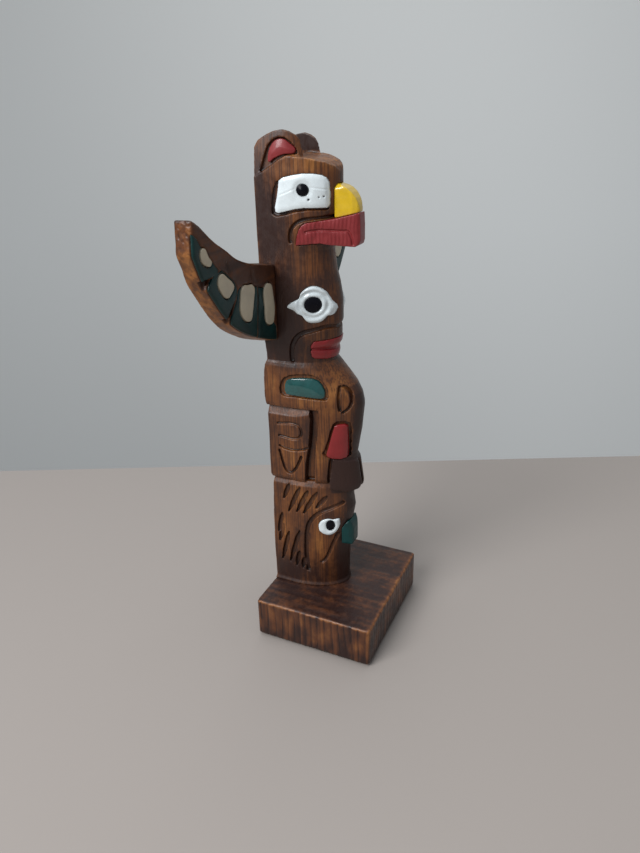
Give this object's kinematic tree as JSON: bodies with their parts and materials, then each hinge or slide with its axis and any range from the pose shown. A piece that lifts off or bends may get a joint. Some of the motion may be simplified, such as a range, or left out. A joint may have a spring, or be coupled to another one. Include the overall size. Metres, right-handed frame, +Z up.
{
  "type": "miniature totem pole figure",
  "caption": "Carved wooden totem figure with stacked animal faces, spread wings, a beak and a rectangular base, painted in muted colours.",
  "frame": {"origin": "middle of the base's underside", "axes": "+Z up the pole, -Y the way the figure faces, -X the figure's right-hand side"},
  "size_m": [0.12, 0.05, 0.1968],
  "materials": {
    "base_wood": "stained and waxed",
    "carved_wood": "stained, worn lighter on the raised parts",
    "wing_wood": "stained and waxed",
    "green_paint": "satin enamel paint",
    "cream_paint": "satin enamel paint",
    "red_paint": "satin enamel paint",
    "white_paint": "gloss enamel paint",
    "black_paint": "gloss enamel paint",
    "yellow_paint": "gloss enamel paint",
    "teal_paint": "gloss enamel paint",
    "dowel_wood": "bare turned hardwood",
    "screw_steel": "zinc plated",
    "felt": "wool felt"
  },
  "bodies": {
    "root": {"base": "base_wood", "pole": "carved_wood", "wing_right": "wing_wood", "wing_left": "wing_wood", "feather_ground_right": "green_paint", "feather_ground_left": "green_paint", "feather_panels_right": "cream_paint", "feather_panels_left": "cream_paint", "ear_panel_right": "red_paint", "ear_panel_left": "red_paint", "eagle_eye_right": "white_paint", "eagle_eye_left": "white_paint", "eagle_pupils": "black_paint", "beak": "yellow_paint", "jaw": "red_paint", "face_eye_right": "white_paint", "face_eye_left": "white_paint", "face_pupils": "black_paint", "lips": "red_paint", "shoulder_panel_right": "teal_paint", "shoulder_panel_left": "teal_paint", "knee_panel_right": "red_paint", "knee_panel_left": "red_paint", "lower_eye_right": "white_paint", "lower_eye_left": "white_paint", "lower_pupils": "black_paint", "nose": "teal_paint", "wing_dowels": "dowel_wood", "beak_dowel": "dowel_wood", "foot_dowel": "dowel_wood", "base_screw": "screw_steel", "felt_pad": "felt"}
  },
  "joints": []
}
